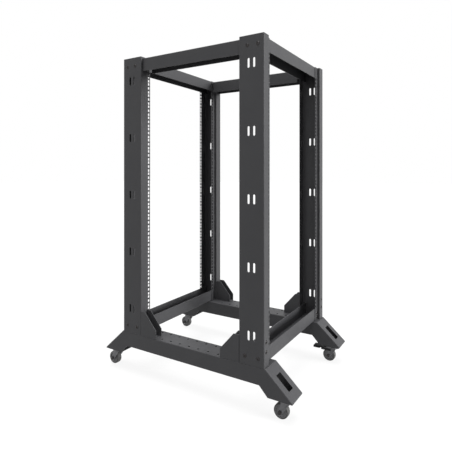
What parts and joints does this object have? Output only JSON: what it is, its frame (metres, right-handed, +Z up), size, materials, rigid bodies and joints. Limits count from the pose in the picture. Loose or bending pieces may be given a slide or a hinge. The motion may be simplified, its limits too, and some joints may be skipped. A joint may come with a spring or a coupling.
{
  "type": "four post open frame equipment rack",
  "caption": "Open frame 19 inch equipment rack: stepped, punched uprights on two splayed base beams with swivel casters.",
  "frame": {"origin": "on the floor, below the middle of the overall length and width; the middle of the four posts is 8 mm towards the front, since the casters trail beyond the rear feet", "axes": "+X to the front of the rack (equipment depth), +Y across the 19 inch opening to the right, +Z up"},
  "size_m": [0.824, 0.58, 1.2375],
  "materials": {
    "black_powder_coated_steel": "black powder coat, satin",
    "black_zinc_caster_steel": "black coated pressed steel",
    "axle_bolt_steel": "black bolt",
    "wheel_centre_nylon": "moulded nylon",
    "tyre_rubber": "hard rubber",
    "pedal_plastic": "moulded plastic"
  },
  "bodies": {
    "frame": {"post_front_left": "black_powder_coated_steel", "gusset_front_left": "black_powder_coated_steel", "foot_plate_front_left": "black_powder_coated_steel", "caster_plate_front_left": "black_zinc_caster_steel", "post_front_right": "black_powder_coated_steel", "gusset_front_right": "black_powder_coated_steel", "foot_plate_front_right": "black_powder_coated_steel", "caster_plate_front_right": "black_zinc_caster_steel", "post_rear_left": "black_powder_coated_steel", "gusset_rear_left": "black_powder_coated_steel", "foot_plate_rear_left": "black_powder_coated_steel", "caster_plate_rear_left": "black_zinc_caster_steel", "post_rear_right": "black_powder_coated_steel", "gusset_rear_right": "black_powder_coated_steel", "foot_plate_rear_right": "black_powder_coated_steel", "caster_plate_rear_right": "black_zinc_caster_steel", "top_rail_front": "black_powder_coated_steel", "top_rail_rear": "black_powder_coated_steel", "top_rail_left": "black_powder_coated_steel", "top_rail_right": "black_powder_coated_steel", "bottom_rail_front": "black_powder_coated_steel", "bottom_rail_rear": "black_powder_coated_steel", "base_beam_left": "black_powder_coated_steel", "base_beam_right": "black_powder_coated_steel"},
    "swivel_front_left": {"caster_fork_front_left": "black_zinc_caster_steel", "caster_axle_front_left": "axle_bolt_steel"},
    "wheel_front_left": {"caster_wheel_front_left": "wheel_centre_nylon", "caster_tyre_front_left": "tyre_rubber"},
    "swivel_front_right": {"caster_fork_front_right": "black_zinc_caster_steel", "caster_axle_front_right": "axle_bolt_steel"},
    "wheel_front_right": {"caster_wheel_front_right": "wheel_centre_nylon", "caster_tyre_front_right": "tyre_rubber"},
    "pedal_front_right": {"brake_pedal_front_right": "pedal_plastic"},
    "swivel_rear_left": {"caster_fork_rear_left": "black_zinc_caster_steel", "caster_axle_rear_left": "axle_bolt_steel"},
    "wheel_rear_left": {"caster_wheel_rear_left": "wheel_centre_nylon", "caster_tyre_rear_left": "tyre_rubber"},
    "swivel_rear_right": {"caster_fork_rear_right": "black_zinc_caster_steel", "caster_axle_rear_right": "axle_bolt_steel"},
    "wheel_rear_right": {"caster_wheel_rear_right": "wheel_centre_nylon", "caster_tyre_rear_right": "tyre_rubber"}
  },
  "joints": [
    {"name": "swivel_front_left", "type": "hinge", "parent": "frame", "child": "swivel_front_left", "pos_m": [0.381, -0.248, 0.0628], "axis": [0, 0, 1], "continuous": true},
    {"name": "roll_front_left", "type": "hinge", "parent": "swivel_front_left", "child": "wheel_front_left", "pos_m": [0.359, -0.248, 0.025], "axis": [0, 1, 0], "continuous": true},
    {"name": "swivel_front_right", "type": "hinge", "parent": "frame", "child": "swivel_front_right", "pos_m": [0.381, 0.248, 0.0628], "axis": [0, 0, 1], "continuous": true},
    {"name": "roll_front_right", "type": "hinge", "parent": "swivel_front_right", "child": "wheel_front_right", "pos_m": [0.359, 0.248, 0.025], "axis": [0, 1, 0], "continuous": true},
    {"name": "brake_front_right", "type": "hinge", "parent": "swivel_front_right", "child": "pedal_front_right", "pos_m": [0.341, 0.248, 0.051], "axis": [0, -1, 0], "range_deg": [0, 15]},
    {"name": "swivel_rear_left", "type": "hinge", "parent": "frame", "child": "swivel_rear_left", "pos_m": [-0.365, -0.248, 0.0628], "axis": [0, 0, 1], "continuous": true},
    {"name": "roll_rear_left", "type": "hinge", "parent": "swivel_rear_left", "child": "wheel_rear_left", "pos_m": [-0.387, -0.248, 0.025], "axis": [0, 1, 0], "continuous": true},
    {"name": "swivel_rear_right", "type": "hinge", "parent": "frame", "child": "swivel_rear_right", "pos_m": [-0.365, 0.248, 0.0628], "axis": [0, 0, 1], "continuous": true},
    {"name": "roll_rear_right", "type": "hinge", "parent": "swivel_rear_right", "child": "wheel_rear_right", "pos_m": [-0.387, 0.248, 0.025], "axis": [0, 1, 0], "continuous": true}
  ]
}
